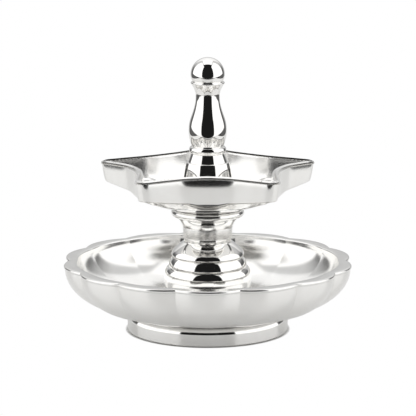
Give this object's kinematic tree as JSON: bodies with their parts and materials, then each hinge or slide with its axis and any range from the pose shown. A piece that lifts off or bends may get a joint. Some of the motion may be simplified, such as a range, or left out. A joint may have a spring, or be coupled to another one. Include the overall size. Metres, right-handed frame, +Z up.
{
  "type": "aarti lamp",
  "caption": "Silver-plated aarti oil lamp: a star bowl with wick spouts on a turned pedestal in a petalled dish, under a baluster handle; lamp and handle unscrew.",
  "frame": {"origin": "centre of the foot's underside, on the plane it stands on", "axes": "+Z up the lamp's axis, -Y towards the picture's viewer, between two spouts, +X to that viewer's right"},
  "size_m": [0.1504, 0.1524, 0.1438],
  "materials": {
    "silver_plate": "mirror-polished silver plate",
    "steel_hardware": "bright machined steel",
    "seal_rubber": "matt oil-proof rubber"
  },
  "bodies": {
    "stand": {"foot_ring": "silver_plate", "dish": "silver_plate", "base_washer": "steel_hardware", "lock_washer": "steel_hardware", "base_nut": "steel_hardware", "tie_rod": "steel_hardware", "pedestal_lower_bead": "silver_plate", "pedestal_middle_bead": "silver_plate", "pedestal_bell": "silver_plate", "stem_washer": "steel_hardware", "stem_nut": "steel_hardware"},
    "collar": {"neck_collar": "silver_plate"},
    "lamp": {"lamp_seat": "silver_plate", "lamp_bowl": "silver_plate", "seal_washer": "seal_rubber", "hub": "silver_plate"},
    "bead": {"bead_ring": "silver_plate"},
    "finial": {"finial_stud": "steel_hardware", "handle": "silver_plate", "ball_knob": "silver_plate"}
  },
  "joints": [
    {"name": "lamp_rise", "type": "slide", "parent": "stand", "child": "collar", "axis": [0, 0, 1], "range_m": [0, 0.00875]},
    {"name": "lamp_turn", "type": "hinge", "parent": "collar", "child": "lamp", "pos_m": [0, 0, 0.055], "axis": [0, 0, 1], "range_deg": [0, 2521]},
    {"name": "finial_rise", "type": "slide", "parent": "lamp", "child": "bead", "axis": [0, 0, 1], "range_m": [0, 0.009]},
    {"name": "finial_turn", "type": "hinge", "parent": "bead", "child": "finial", "pos_m": [0, 0, 0.0973], "axis": [0, 0, 1], "range_deg": [0, 3241]}
  ],
  "couplings": [
    {"joint": "lamp_turn", "follows": "lamp_rise", "rad_per_m": 5026.5},
    {"joint": "finial_turn", "follows": "finial_rise", "rad_per_m": 6283.2}
  ]
}
